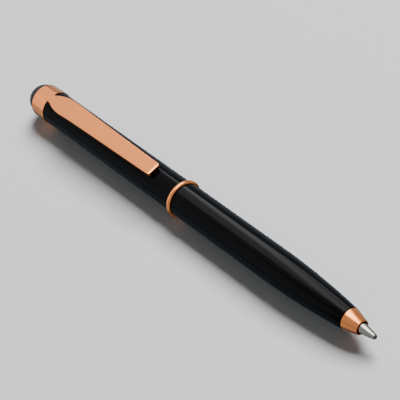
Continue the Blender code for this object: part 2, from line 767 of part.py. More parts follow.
def clip_section(x):
    """(half width, top height) of the clip's arm at x: narrow at the root, widest soon after."""
    if x < CLIP_WIDE_X:
        share = (x - CLIP_FLEX_X) / (CLIP_WIDE_X - CLIP_FLEX_X)
        eased = math.sin(share * math.pi / 2)
        width = CLIP_NECK_WIDTH + (CLIP_WIDE_WIDTH - CLIP_NECK_WIDTH) * eased
    else:
        share = (x - CLIP_WIDE_X) / (CLIP_END_X - CLIP_WIDE_X)
        width = CLIP_WIDE_WIDTH + (CLIP_END_WIDTH - CLIP_WIDE_WIDTH) * share
    rise = min(1.0, (x - CLIP_FLEX_X) / (CLIP_LEVEL_X - CLIP_FLEX_X))
    top = CLIP_ROOT_TOP + (CLIP_TOP - CLIP_ROOT_TOP) * (1 - math.cos(rise * math.pi)) / 2
    return width / 2, top


def channel_ring(bm, x, half, top, skirt):
    """One cross-section of the pressed channel, as a loop of vertices round its outside and inside."""
    inner = half - CLIP_SHEET
    under = top - CLIP_SHEET
    low = top - skirt
    outline = [
        (-half, low),
        (-half, top - CLIP_EDGE),
        (-half + CLIP_EDGE, top),
        (half - CLIP_EDGE, top),
        (half, top - CLIP_EDGE),
        (half, low),
        (inner, low),
        (inner, under),
        (-inner, under),
        (-inner, low),
    ]
    return [bm.verts.new((x - CLIP_FLEX_X, y, z - CLIP_FLEX_HEIGHT)) for y, z in outline]


def make_clip_arm(parent):
    """The clip's springy arm, a pressed channel that bends about its root. Its end turns down."""
    root_skirt = CLIP_SHEET + 0.08
    skirt_ramp = 4.0
    stations = [CLIP_FLEX_X + (CLIP_WIDE_X - CLIP_FLEX_X) * i / 5 for i in range(5)]
    stations += [CLIP_WIDE_X, -48.0, -46.5, CLIP_LEVEL_X, CLIP_END_X - CLIP_ROUND_LENGTH]
    bm = bmesh.new()
    rings = []
    for x in stations:
        half, top = clip_section(x)
        ramp = min(1.0, (x - CLIP_FLEX_X) / skirt_ramp)
        rings.append(channel_ring(bm, x, half, top, root_skirt + (CLIP_SKIRT - root_skirt) * ramp))
    half, top = clip_section(CLIP_END_X)
    end_skirt = CLIP_SKIRT - CLIP_ROUND_DROP
    rings.append(channel_ring(bm, CLIP_END_X, half, top - CLIP_ROUND_DROP, end_skirt))
    for first, second in zip(rings, rings[1:]):
        for i in range(len(first)):
            j = (i + 1) % len(first)
            bm.faces.new((first[i], first[j], second[j], second[i]))
    bm.faces.new(list(reversed(rings[0])))
    bm.faces.new(rings[-1])
    arm = object_from(bm, "clip_arm", "rose_gold", parent)
    toe_front = CLIP_END_X - TOE_INSET - CLIP_FLEX_X
    toe_half = half - EDGE_BREAK
    toe_top = top - CLIP_ROUND_DROP - CLIP_SHEET / 2 - CLIP_FLEX_HEIGHT
    toe_low = UPPER_RADIUS + TOE_GAP - CLIP_FLEX_HEIGHT
    toe = block(
        "clip_toe_joiner",
        (toe_front - TOE_THICKNESS, -toe_half, toe_low),
        (toe_front, toe_half, toe_top),
        parent,
    )
    return combine(arm, toe, "UNION")


def main():
    clear_scene()
    lower = empty_at("lower_half", (0, 0, AXIS_Z))
    upper = empty_at("twist_axis", (0, 0, AXIS_Z))
    refill = empty_at("refill_axis", (0, 0, AXIS_Z))
    ball = empty_at("ball_centre", (BALL_X, 0, 0), refill)
    flex = empty_at("clip_flex_line", (CLIP_FLEX_X, 0, CLIP_FLEX_HEIGHT), upper)

    make_lower_barrel(lower)
    make_centre_ring(lower)
    make_nib(lower)
    make_mechanism_sleeve(lower)
    make_retaining_ring(lower)
    make_thrust_washer(lower)
    make_friction_ring(lower)

    make_upper_barrel(upper)
    make_clip_band(upper)
    make_stylus_holder(upper)
    make_stylus_dome(upper)
    make_tail_bush(upper)
    make_drive_bush(upper)
    make_cam_tube(upper)

    make_clip_arm(flex)

    make_follower(refill)
    cross_bar("follower_pin", PIN_RADIUS, PIN_HALF_LENGTH, "spring_steel", refill)
    make_refill_plug(refill)
    make_refill_tube(refill)
    make_ink_column(refill)
    make_refill_tip(refill)

    make_writing_ball(ball)


main()
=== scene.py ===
"""The looks of a twist-action ballpoint pen: black lacquer, rose gold trim and a rubber stylus dome.

The pen's lengths are in millimetres until a mesh is made, and those of the floor and the lights are in
metres. Round pieces are outlines of (x, radius, fillet) corners, turned about the pen's axis. The clip
and its band are one sheet of metal, drawn as a grid.
"""

import json
import math

import bmesh
import bpy
from mathutils import Matrix, Vector


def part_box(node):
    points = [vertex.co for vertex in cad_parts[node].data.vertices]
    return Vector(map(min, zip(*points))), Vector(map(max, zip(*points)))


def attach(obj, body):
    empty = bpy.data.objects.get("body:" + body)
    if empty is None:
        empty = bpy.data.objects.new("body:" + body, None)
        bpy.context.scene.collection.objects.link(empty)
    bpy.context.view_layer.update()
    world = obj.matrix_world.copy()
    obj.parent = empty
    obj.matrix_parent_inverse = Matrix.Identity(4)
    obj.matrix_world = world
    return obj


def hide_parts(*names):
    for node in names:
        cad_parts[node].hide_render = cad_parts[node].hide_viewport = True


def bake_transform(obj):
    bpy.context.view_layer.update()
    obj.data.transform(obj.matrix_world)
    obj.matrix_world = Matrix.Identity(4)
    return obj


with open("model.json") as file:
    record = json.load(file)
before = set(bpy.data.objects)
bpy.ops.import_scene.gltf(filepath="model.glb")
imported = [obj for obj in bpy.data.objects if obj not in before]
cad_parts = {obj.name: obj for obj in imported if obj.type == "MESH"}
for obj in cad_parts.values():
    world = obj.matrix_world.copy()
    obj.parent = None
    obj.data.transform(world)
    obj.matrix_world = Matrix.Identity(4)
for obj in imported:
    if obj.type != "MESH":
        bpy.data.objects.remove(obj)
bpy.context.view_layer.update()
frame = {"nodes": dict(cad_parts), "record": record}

MM = 0.001
SEGMENTS = 160
POINT_SEGMENTS = 96
BALL_SEGMENTS = 64
FILLET_STEPS = 5
FILLET_REACH = 0.48
HAIR = 0.002

# ---------------------------------------------------------------- places read from the frame
ball_low, ball_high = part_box("writing_ball")
AXIS_Z = (ball_low.z + ball_high.z) / 2 / MM


def span(node):
    """(back x, front x, radius) of a round CAD node, in millimetres, a hair inside it."""
    low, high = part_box(node)
    return low.x / MM, high.x / MM, (high.y - low.y) / 2 / MM - HAIR


RING_BACK, RING_FRONT, RING_RADIUS = span("centre_ring")
LOWER_BACK, NOSE_X, LOWER_RADIUS = span("lower_barrel")
UPPER_TAIL, UPPER_FRONT, UPPER_RADIUS = span("upper_barrel")
NIB_BACK, NIB_FRONT, NIB_RADIUS = span("nib")
BAND_BACK, _, BAND_RADIUS = span("clip_band")
DOME_TAIL, DOME_FRONT, DOME_RADIUS = span("stylus_dome")
POINT_BACK, POINT_FRONT, POINT_RADIUS = span("refill_tip")
BALL_BACK, BALL_FRONT, BALL_RADIUS = span("writing_ball")
BALL_X = (BALL_BACK + BALL_FRONT) / 2
ARM_BACK, ARM_FRONT, ARM_HALF = span("clip_arm")
ARM_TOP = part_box("clip_arm")[1].z / MM - AXIS_Z
# The band's front edge lies this far behind the arm, and the clip's root bridges it.
ROOT_LENGTH = 1.1
BAND_FRONT = ARM_BACK - ROOT_LENGTH


# ---------------------------------------------------------------- meshes
def mesh_object(name, verts, faces, material):
    """An object from points in millimetres about the pen's axis, shaded smooth."""
    mesh = bpy.data.meshes.new(name)
    mesh.from_pydata([(x * MM, y * MM, (z + AXIS_Z) * MM) for x, y, z in verts], [], faces)
    mesh.shade_smooth()
    mesh.materials.append(material)
    piece = bpy.data.objects.new(name, mesh)
    bpy.context.scene.collection.objects.link(piece)
    return piece


def filleted(outline, closed):
    """The outline's points, with each corner that has a fillet rounded off.

    A fillet takes up no more than FILLET_REACH of either side of its corner.
    """
    points = []
    count = len(outline)
    for i, (x, radius, fillet) in enumerate(outline):
        at_end = not closed and i in (0, count - 1)
        if fillet == 0 or at_end:
            points.append((x, radius))
            continue
        corner = Vector((x, radius))
        before = Vector(outline[i - 1][:2]) - corner
        after = Vector(outline[(i + 1) % count][:2]) - corner
        half = before.angle(after) / 2
        shorter = min(before.length, after.length)
        reach = min(fillet / math.tan(half), FILLET_REACH * shorter)
        start = corner + before.normalized() * reach
        stop = corner + after.normalized() * reach
        for step in range(FILLET_STEPS + 1):
            t = step / FILLET_STEPS
            point = start * (1 - t) ** 2 + corner * 2 * t * (1 - t) + stop * t**2
            points.append((point.x, point.y))
    return points


def turned(name, outline, material, segments=SEGMENTS):
    """Spins an outline about the pen's axis. One that ends on the axis makes a bar, else a tube."""
    closed = outline[0][1] > 0 or outline[-1][1] > 0
    points = filleted(outline, closed)
    verts, rings = [], []
    for x, radius in points:
        if radius <= 0:
            rings.append([len(verts)] * segments)
            verts.append((x, 0, 0))
            continue
        rings.append(list(range(len(verts), len(verts) + segments)))
        for step in range(segments):
            angle = 2 * math.pi * step / segments
            verts.append((x, radius * math.sin(angle), radius * math.cos(angle)))
    pairs = list(zip(rings, rings[1:]))
    if closed:
        pairs.append((rings[-1], rings[0]))
    faces = []
    for first, second in pairs:
        for i in range(segments):
            j = (i + 1) % segments
            corners = [first[i], second[i], second[j], first[j]]
            unique = list(dict.fromkeys(corners))
            if len(unique) > 2:
                faces.append(unique)
    piece = mesh_object(name, verts, faces, material)
    face_out(piece)
    modifier = piece.modifiers.new("even_shading", "WEIGHTED_NORMAL")
    modifier.keep_sharp = True
    return piece


def face_out(piece):
    """Turns a closed mesh right side out."""
    bm = bmesh.new()
    bm.from_mesh(piece.data)
    bmesh.ops.recalc_face_normals(bm, faces=bm.faces)
    bm.to_mesh(piece.data)
    bm.free()


def arc(centre_x, centre_radius, radius, start, stop, steps):
    """Corners along a circular arc of an outline. 0 degrees points to +X and 90 away from the axis."""
    corners = []
    for i in range(steps + 1):
        angle = math.radians(start + (stop - start) * i / steps)
        x = centre_x + radius * math.cos(angle)
        corners.append((x, centre_radius + radius * math.sin(angle), 0))
    return corners


def smooth(t):
    """Eases from 0 to 1 while t goes from 0 to 1, and stays level outside that."""
    t = max(0.0, min(1.0, t))
    return t * t * (3 - 2 * t)


# ---------------------------------------------------------------- materials
NOISE_LOW, NOISE_HIGH = 0.3, 0.7


def new_material(name, colour, roughness, metallic=0.0):
    """A Principled material, with its node tree and its shader for the functions below to work on."""
    material = bpy.data.materials.new(name)
    material.use_nodes = True
    shader = material.node_tree.nodes["Principled BSDF"]
    shader.inputs["Base Color"].default_value = (*colour, 1)
    shader.inputs["Roughness"].default_value = roughness
    shader.inputs["Metallic"].default_value = metallic
    return material, material.node_tree, shader


def noise(tree, size, stretch=(1, 1, 1), detail=3.0):
    """Noise fixed to the piece, with features about size millimetres across."""
    coords = tree.nodes.new("ShaderNodeTexCoord")
    mapping = tree.nodes.new("ShaderNodeMapping")
    mapping.inputs["Scale"].default_value = stretch
    texture = tree.nodes.new("ShaderNodeTexNoise")
    texture.inputs["Scale"].default_value = 1 / (size * MM)
    texture.inputs["Detail"].default_value = detail
    tree.links.new(coords.outputs["Object"], mapping.inputs["Vector"])
    tree.links.new(mapping.outputs["Vector"], texture.inputs["Vector"])
    return texture.outputs["Fac"]


def rings_along(tree, pitch):
    """The fine rings that a lathe tool leaves, 2 pi times pitch millimetres apart along the pen."""
    radians_per_scale = 20
    coords = tree.nodes.new("ShaderNodeTexCoord")
    wave = tree.nodes.new("ShaderNodeTexWave")
    wave.bands_direction = "X"
    wave.inputs["Scale"].default_value = 1 / (pitch * MM) / radians_per_scale
    wave.inputs["Distortion"].default_value = 1.5
    wave.inputs["Detail"].default_value = 2.0
    tree.links.new(coords.outputs["Object"], wave.inputs["Vector"])
    return wave.outputs["Fac"]


def vary_colour(tree, shader, pattern, dark, light):
    """Base colour between dark and light, by the pattern."""
    mix = tree.nodes.new("ShaderNodeMix")
    mix.data_type = "RGBA"
    mix.inputs["A"].default_value = (*dark, 1)
    mix.inputs["B"].default_value = (*light, 1)
    tree.links.new(pattern, mix.inputs["Factor"])
    tree.links.new(mix.outputs["Result"], shader.inputs["Base Color"])


def vary_roughness(tree, shader, pattern, low, high):
    """Roughness from low to high, over the range that noise mostly keeps to."""
    spread = tree.nodes.new("ShaderNodeMapRange")
    spread.inputs["From Min"].default_value = NOISE_LOW
    spread.inputs["From Max"].default_value = NOISE_HIGH
    spread.inputs["To Min"].default_value = low
    spread.inputs["To Max"].default_value = high
    tree.links.new(pattern, spread.inputs["Value"])
    tree.links.new(spread.outputs["Result"], shader.inputs["Roughness"])


def add_bump(tree, shader, pattern, height, below=None):
    """Relief of the given height in millimetres, on top of another bump if one is given."""
    bump = tree.nodes.new("ShaderNodeBump")
    bump.inputs["Strength"].default_value = 1.0
    bump.inputs["Distance"].default_value = height * MM
    tree.links.new(pattern, bump.inputs["Height"])
    if below:
        tree.links.new(below, bump.inputs["Normal"])
    tree.links.new(bump.outputs["Normal"], shader.inputs["Normal"])
    return bump.outputs["Normal"]


def black_lacquer():
    """Black lacquer with a faint orange peel and a slight haze of handling. It reflects very little."""
    material, tree, shader = new_material("black_lacquer", (0.002, 0.002, 0.0025), 0.1)
    shader.inputs["Specular IOR Level"].default_value = 0.04
    vary_colour(tree, shader, noise(tree, 0.4), (0.0015, 0.0015, 0.002), (0.003, 0.003, 0.0035))
    vary_roughness(tree, shader, noise(tree, 3.0), 0.07, 0.13)
    add_bump(tree, shader, noise(tree, 1.6, detail=1.0), 0.0012)
    return material


def rose_gold():
    """Polished plating with fine lines along the pen and slight changes of tone."""
    material, tree, shader = new_material("rose_gold", (0.93, 0.29, 0.085), 0.16, 1.0)
    vary_colour(tree, shader, noise(tree, 2.5), (0.91, 0.27, 0.075), (0.95, 0.305, 0.092))
    vary_roughness(tree, shader, noise(tree, 0.25, stretch=(0.08, 1, 1)), 0.13, 0.22)
    lines = add_bump(tree, shader, noise(tree, 0.12, stretch=(0.04, 1, 1)), 0.0006)
    add_bump(tree, shader, noise(tree, 2.0, detail=1.0), 0.0015, below=lines)
    return material


def turned_metal(name, dark, light, roughness, pitch=0.12):
    """Lathe-turned metal with tool rings round it."""
    material, tree, shader = new_material(name, light, roughness, 1.0)
    vary_colour(tree, shader, noise(tree, 1.2), dark, light)
    marks = noise(tree, 0.3, stretch=(1, 0.2, 0.2))
    vary_roughness(tree, shader, marks, roughness * 0.8, roughness * 1.4)
    add_bump(tree, shader, rings_along(tree, pitch), 0.0012)
    return material


def moulded(name, dark, light, roughness, grain=0.25, height=0.004):
    """Moulded plastic or rubber with a fine matt grain."""
    material, tree, shader = new_material(name, light, roughness)
    vary_colour(tree, shader, noise(tree, 1.5), dark, light)
    vary_roughness(tree, shader, noise(tree, 0.5), roughness * 0.85, roughness * 1.2)
    add_bump(tree, shader, noise(tree, grain), height)
    return material


def stylus_rubber():
    """Black rubber with a finer, lower grain than the plastics and less shine."""
    dark, light = (0.004, 0.004, 0.004), (0.009, 0.009, 0.009)
    material = moulded("stylus_rubber", dark, light, 0.45, grain=0.12, height=0.003)
    shader = material.node_tree.nodes["Principled BSDF"]
    shader.inputs["Specular IOR Level"].default_value = 0.3
    return material


def ink():
    """Glossy blue ink."""
    material, tree, shader = new_material("blue_ink", (0.01, 0.02, 0.16), 0.15)
    vary_colour(tree, shader, noise(tree, 2.0), (0.006, 0.012, 0.11), (0.012, 0.025, 0.18))
    vary_roughness(tree, shader, noise(tree, 1.0), 0.08, 0.2)
    return material


FINISHES = {
    "black_lacquer": black_lacquer(),
    "rose_gold": rose_gold(),
    "stylus_rubber": stylus_rubber(),
    "nickel_silver": turned_metal("nickel_silver", (0.30, 0.275, 0.23), (0.40, 0.36, 0.30), 0.07, 0.08),
    "carbide": turned_metal("carbide", (0.06, 0.06, 0.07), (0.12, 0.12, 0.135), 0.10, 0.05),
    "brass": turned_metal("brass", (0.66, 0.47, 0.17), (0.82, 0.62, 0.27), 0.26),
    "spring_steel": turned_metal("spring_steel", (0.50, 0.50, 0.52), (0.66, 0.66, 0.68), 0.22),
    "white_acetal": moulded("white_acetal", (0.76, 0.75, 0.70), (0.86, 0.85, 0.81), 0.42),
    "black_acetal": moulded("black_acetal", (0.018, 0.018, 0.019), (0.035, 0.035, 0.036), 0.42),
    "blue_ink": ink(),
}


def place(piece, body, slot, *nodes):
    """Hands a finished piece to the frame: its body, and the CAD nodes it stands for, which it hides. The
    slot argument is not used.
    """
    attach(piece, body)
    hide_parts(*nodes)
    return piece


# ---------------------------------------------------------------- barrels, ring, nib, point, dome
WALL = 0.6
FACE_GAP = 0.05
EDGE_ROUND = 0.14
TAPER_START = 30.0
NOSE_DROP = 1.6
NIB_SPIGOT = 2.34
NIB_SEAT = 2.4
NIB_SEAT_LENGTH = 7
NOSE_BORE_LENGTH = 14


def lower_radius(x):
    """Straight as far as the taper, then one long arc down to the nose."""
    run = NOSE_X - TAPER_START
    bend = (run**2 + NOSE_DROP**2) / (2 * NOSE_DROP)
    ahead = max(0.0, x - TAPER_START)
    return LOWER_RADIUS - (bend - math.sqrt(bend**2 - ahead**2))


def make_lower_barrel():
    """Lacquered tube whose bore narrows to the nib's seat in its nose."""
    taper_steps = 36
    inner_x = NOSE_X - NOSE_BORE_LENGTH
    outline = [(LOWER_BACK, LOWER_RADIUS, EDGE_ROUND)]
    for i in range(taper_steps):
        x = TAPER_START + (NOSE_X - TAPER_START) * i / taper_steps
        outline.append((x, lower_radius(x), 0))
    outline += [
        (NOSE_X, lower_radius(NOSE_X), EDGE_ROUND),
        (NOSE_X, NIB_SEAT, 0),
        (NOSE_X - NIB_SEAT_LENGTH, NIB_SEAT, 0),
        (inner_x, lower_radius(inner_x) - WALL, 0),
        (TAPER_START, LOWER_RADIUS - WALL, 0),
        (LOWER_BACK, LOWER_RADIUS - WALL, 0),
    ]
    barrel = turned("lower_barrel_shell", outline, FINISHES["black_lacquer"])
    place(barrel, "lower", "black_lacquer", "lower_barrel")


def make_upper_barrel():
    """Lacquered tube, turned down at its tail so that the band sits on it."""
    tail_radius = 4.23
    step_x = BAND_FRONT + FACE_GAP
    step_round = 0.06
    outline = [
        (UPPER_FRONT, UPPER_RADIUS, EDGE_ROUND),
        (UPPER_FRONT, UPPER_RADIUS - WALL, 0),
        (UPPER_TAIL, UPPER_RADIUS - WALL, 0),
        (UPPER_TAIL, tail_radius, 0),
        (step_x, tail_radius, 0),
        (step_x, UPPER_RADIUS, step_round),
    ]
    barrel = turned("upper_barrel_shell", outline, FINISHES["black_lacquer"])
    place(barrel, "upper", "black_lacquer", "upper_barrel")


def make_centre_ring():
    """A thin trim ring with a round rim, proud of both barrels."""
    bore = LOWER_RADIUS - WALL
    rim_round = 0.5
    outline = [
        (RING_BACK, bore, 0),
        (RING_BACK, RING_RADIUS, rim_round),
        (RING_FRONT, RING_RADIUS, rim_round),
        (RING_FRONT, bore, 0),
    ]
    ring = turned("centre_ring_trim", outline, FINISHES["rose_gold"])
    place(ring, "lower", "rose_gold", "centre_ring")


def make_nib():
    """The nose cone: a straight taper with a thin rounded lip round its flared mouth."""
    back = NOSE_X + FACE_GAP
    front_radius, mouth, bore = 1.92, 1.7, 1.5
    mouth_depth = 1.0
    lead_in = 0.3
    spigot_end = NIB_SPIGOT - 0.2
    edge_round, lip_round, inner_round = 0.12, 0.07, 0.1
    outline = [
        (NIB_BACK, spigot_end, inner_round),
        (NIB_BACK, bore + lead_in, 0),
        (NIB_BACK + lead_in, bore, 0),
        (NIB_FRONT - mouth_depth, bore, inner_round),
        (NIB_FRONT, mouth, lip_round),
        (NIB_FRONT, front_radius, edge_round),
        (back, NIB_RADIUS, edge_round),
        (back, NIB_SPIGOT, 0),
        (NIB_BACK + lead_in, NIB_SPIGOT, 0),
    ]
    nib = turned("nose_cone", outline, FINISHES["rose_gold"])
    place(nib, "lower", "rose_gold", "nib")


def make_point():
    """The refill's writing point: neck, cone, step, and the lip that is crimped over the ball."""
    feed, spigot = 0.22, 1.19
    spigot_front = POINT_BACK + 4.05
    cone_end, step_foot, crimp = 0.90, 0.83, 0.74
    lip, lip_bore = 0.62, 0.57
    seat = BALL_RADIUS + 0.02
    outline = [
        (POINT_BACK, feed, 0),
        (POINT_BACK, spigot, 0.1),
        (spigot_front, spigot, 0),
        (spigot_front, POINT_RADIUS, 0.08),
        (NIB_FRONT, POINT_RADIUS, 0.25),
        (BALL_X - 0.9, cone_end, 0.08),
        (BALL_X - 0.86, step_foot, 0.04),
        (BALL_X - 0.25, crimp, 0.15),
        (POINT_FRONT, lip, 0.03),
        (POINT_FRONT, lip_bore, 0),
        (BALL_X, seat, 0),
        (BALL_X - 0.58, feed, 0),
    ]
    point = turned("writing_point", outline, FINISHES["nickel_silver"], POINT_SEGMENTS)
    place(point, "refill", "nickel_silver", "refill_tip")


def make_ball():
    """The ball in the point."""
    rim = arc(BALL_X, 0, BALL_RADIUS, 172.5, 7.5, 22)
    outline = [(BALL_BACK, 0, 0), *rim, (BALL_FRONT, 0, 0)]
    ball = turned("rolling_ball", outline, FINISHES["carbide"], BALL_SEGMENTS)
    place(ball, "ball", "carbide", "writing_ball")


def make_dome():
    """Hollow rubber half-ball on a short skirt, with a faint moulding line where they meet."""
    centre = DOME_TAIL + DOME_RADIUS
    wall = 0.9
    inner = DOME_RADIUS - wall
    lip_bore, lip_length = 2.65, 0.9
    line_x = centre + 0.12
    line_depth = 0.04
    outside = [(DOME_TAIL, 0, 0), *arc(centre, 0, DOME_RADIUS, 177.5, 90, 35)]
    inside = [*arc(centre, 0, inner, 90, 175, 17), (DOME_TAIL + wall, 0, 0)]
    skirt = [
        (line_x - line_depth, DOME_RADIUS, 0),
        (line_x, DOME_RADIUS - line_depth, 0),
        (line_x + line_depth, DOME_RADIUS, 0),
        (DOME_FRONT, DOME_RADIUS, 0.1),
        (DOME_FRONT, lip_bore, 0),
        (DOME_FRONT - lip_length, lip_bore, 0),
        (DOME_FRONT - lip_length, inner, 0),
    ]
    dome = turned("stylus_cap", outside + skirt + inside, FINISHES["stylus_rubber"])
    place(dome, "upper", "stylus_rubber", "stylus_dome")


# ---------------------------------------------------------------- clip and band, one sheet
# WIDENING, NARROWING and TUCK_CURVE are powers, which set how those curves bend.
NECK_HALF = 1.25
NECK_RUN = 2.5
NECK_ANGLE = math.asin(NECK_HALF / BAND_RADIUS)
ROOT_TOP = 4.78
LEVEL_X = ARM_BACK + 11.5
WIDE_X = ARM_BACK + 6.0
WIDE_HALF = ARM_HALF - 0.1
WIDENING = 1.25
END_HALF = 1.95
NARROWING = 0.85
SKIRT = 1.1
END_SKIRT = 0.18
END_SKIRT_RUN = 1.5
TUCK = 0.32
TUCK_RUN = 0.6
TUCK_CURVE = 1.8
EDGE = 0.2
CROWN = 0.05
SHEET = 0.5
BAND_SHARE = 0.5
ARM_CLEARANCE = 0.04
BAND_BACK_RADIUS = BAND_RADIUS - 0.17
BAND_COLUMNS = 60
BAND_ROWS = 9
BAND_EDGE = 0.3
BAND_EDGE_LOOP = 0.1
# The arm's rows, by their distance from the band and, near the arm's free end, from that end.
ARM_ROWS = (0.12, 0.4, 0.9, 1.6, 2.5, 3.5, 4.6, 5.8, 7.0, 8.2, 9.6, 11.2, 13, 17, 22, 28, 34, 39)
ARM_END_ROWS = (2.0, 1.2, 0.6, 0.35, 0.15, 0)
# Where the sheet's columns lie across the neck, as shares of its half angle on the band.
NECK_SHARES = (-1, -0.93, -0.86, -0.78, -0.66, -0.36, 0, 0.36, 0.66, 0.78, 0.86, 0.93, 1)
LAST = len(NECK_SHARES) - 1
# How many columns in from either side the arm's top edge lies. Those outside it make the skirt.
CORNER = 3


def arm_half(x):
    """Half the arm's width: it widens from the neck to WIDE_X, then narrows to its free end."""
    if x < WIDE_X:
        share = max(0.0, (x - BAND_FRONT) / (WIDE_X - BAND_FRONT))
        return NECK_HALF + (WIDE_HALF - NECK_HALF) * math.sin(share * math.pi / 2) ** WIDENING
    share = (x - WIDE_X) / (ARM_FRONT - WIDE_X)
    return WIDE_HALF + (END_HALF - WIDE_HALF) * share**NARROWING


def arm_top(x):
    """How high the arm's top edges lie: they rise from the root and are level from LEVEL_X on."""
    share = smooth((x - BAND_FRONT) / (LEVEL_X - BAND_FRONT))
    return ROOT_TOP + (ARM_TOP - CROWN - ROOT_TOP) * share


def arm_skirt(x):
    """How far the arm's turned-down sides hang below its top. They stay clear of the barrel."""
    room = arm_top(x) - math.sqrt(UPPER_RADIUS**2 - arm_half(x) ** 2) - ARM_CLEARANCE
    return min(SKIRT, room) + END_SKIRT * smooth((x - ARM_FRONT + END_SKIRT_RUN) / END_SKIRT_RUN)


def arm_share(x):
    """The sheet's thickness as a share of its full one: thin at the root, over the barrel."""
    room = arm_top(x) - UPPER_RADIUS - ARM_CLEARANCE
    return min(1.0, room / SHEET)


def end_tuck(x):
    """How far the sheet draws in over the last of its free end, which rounds that end."""
    return TUCK * max(0.0, (x - ARM_FRONT + TUCK_RUN) / TUCK_RUN) ** TUCK_CURVE


def arm_section(half, top, skirt):
    """The sheet's columns across the arm, from one skirt's foot over the top to the other's."""
    side = [(half, top - skirt), (half, top - skirt / 2), (half, top - EDGE), (half, top)]
    inner = [(half - EDGE, top + CROWN * 0.2), (half * 0.5, top + CROWN * 0.8)]
    right = side + inner
    left = [(-y, z) for y, z in right]
    return left + [(0, top + CROWN)] + list(reversed(right))


def band_radius(x):
    """The band tapers a little towards its back edge."""
    rise = BAND_RADIUS - BAND_BACK_RADIUS
    return BAND_BACK_RADIUS + rise * (x - BAND_BACK) / (BAND_FRONT - BAND_BACK)


def neck_section(x, half, top, skirt):
    """The sheet's columns at x: round like the band at first, then the arm's own section."""
    lift_start = BAND_BACK + 0.5
    radius = band_radius(min(x, BAND_FRONT))
    lift = (top - radius) * smooth((x - lift_start) / (BAND_FRONT - BAND_BACK))
    turned_down = smooth((x - BAND_FRONT) / NECK_RUN)
    points = []
    for share, (y, z) in zip(NECK_SHARES, arm_section(half, top, skirt)):
        angle = share * NECK_ANGLE
        round_y = radius * math.sin(angle) * half / NECK_HALF
        round_z = radius * math.cos(angle) + lift * smooth(1 - abs(share))
        across = round_y + (y - round_y) * turned_down
        points.append((across, round_z + (z - round_z) * turned_down))
    return points


def add_row(verts, x, points):
    """Adds a row of the grid at x, and returns the numbers of its vertices."""
    first = len(verts)
    verts.extend((x, y, z) for y, z in points)
    return list(range(first, len(verts)))


def join(faces, first, second):
    """The strip of faces between two rows."""
    for i in range(len(first) - 1):
        faces.append([first[i], second[i], second[i + 1], first[i + 1]])


def band_rows(verts, faces):
    """The band: rows that go all the way round, the neck's columns first."""
    length = BAND_FRONT - BAND_BACK
    middle = length - 2 * BAND_EDGE
    offsets = [0, BAND_EDGE_LOOP, BAND_EDGE]
    offsets += [BAND_EDGE + middle * i / BAND_ROWS for i in range(1, BAND_ROWS + 1)]
    offsets += [length - BAND_EDGE_LOOP, length]
    free = 2 * (math.pi - NECK_ANGLE)
    rest = [NECK_ANGLE + free * i / BAND_COLUMNS for i in range(1, BAND_COLUMNS)]
    rows = []
    for offset in offsets:
        x = BAND_BACK + offset
        radius = band_radius(x)
        points = neck_section(x, NECK_HALF, ROOT_TOP, arm_skirt(x))
        points += [(radius * math.sin(a), radius * math.cos(a)) for a in rest]
        rows.append(add_row(verts, x, points))
    for first, second in zip(rows, rows[1:]):
        join(faces, first + first[:1], second + second[:1])
    return rows


def arm_rows(verts, faces, neck, shares):
    """The arm: rows from the neck to the free end. Notes each vertex's share, and returns the last row."""
    places = [BAND_FRONT + offset for offset in ARM_ROWS]
    places += [ARM_FRONT - back for back in ARM_END_ROWS]
    previous = neck
    for x in places:
        tuck = end_tuck(x)
        half, top = arm_half(x) - tuck, arm_top(x) - tuck / 2
        row = add_row(verts, x, neck_section(x, half, top, arm_skirt(x) - tuck / 2))
        join(faces, previous, row)
        shares.update((i, arm_share(x)) for i in row)
        previous = row
    return previous


def make_clip():
    """The band and the arm as one sheet, which bends across the clip's root."""
    verts, faces = [], []
    rows = band_rows(verts, faces)
    shares = {i: BAND_SHARE for row in rows for i in row}
    last_row = arm_rows(verts, faces, rows[-1][: LAST + 1], shares)
    close_end(verts, faces, last_row)
    clip = mesh_object("clip_and_band", verts, faces, FINISHES["rose_gold"])
    thicken(clip, shares)
    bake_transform(clip)
    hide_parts("clip_band", "clip_arm")


def close_end(verts, faces, last_row):
    """The wall that turns down across the arm's free end, joined to both skirts."""
    above = last_row[CORNER : LAST - CORNER + 1]
    for step in range(1, CORNER + 1):
        left, right = last_row[CORNER - step], last_row[LAST - CORNER + step]
        level = verts[left][2]
        between = []
        for index in last_row[CORNER + 1 : LAST - CORNER]:
            between.append(len(verts))
            verts.append((ARM_FRONT, verts[index][1], level))
        row = [left, *between, right]
        for i in range(len(row) - 1):
            faces.append([above[i], row[i], row[i + 1], above[i + 1]])
        above = row


def thicken(clip, shares):
    """Gives each point of the sheet its share of the thickness, and rounds the sheet's edges.

    An open sheet can come out of face_out inside out, so its first face, on top, is looked at.
    """
    face_out(clip)
    if clip.data.polygons[0].normal.z < 0:
        clip.data.flip_normals()
    group = clip.vertex_groups.new(name="sheet")
    group.add(list(range(len(clip.data.vertices))), 1.0, "REPLACE")
    for i, share in shares.items():
        group.add([i], share, "REPLACE")
    solid = clip.modifiers.new("sheet", "SOLIDIFY")
    solid.thickness = SHEET * MM
    solid.offset = -1
    solid.use_even_offset = True
    solid.vertex_group = group.name
    rounding = clip.modifiers.new("rounding", "SUBSURF")
    rounding.levels = 2
    rounding.render_levels = 2
    graph = bpy.context.evaluated_depsgraph_get()
    finished = bpy.data.meshes.new_from_object(clip.evaluated_get(graph))
    clip.modifiers.clear()
    clip.data = finished
    finished.shade_smooth()


# ---------------------------------------------------------------- pieces inside the pen
def finish_inside():
    """Gives each CAD piece the material that its record slot names. Only those inside the pen stay."""
    slots = {part["node"]: part["material_slot"] for part in frame["record"]["subparts"]}
    for node, piece in frame["nodes"].items():
        for material_slot in piece.material_slots:
            material_slot.material = FINISHES[slots[node]]


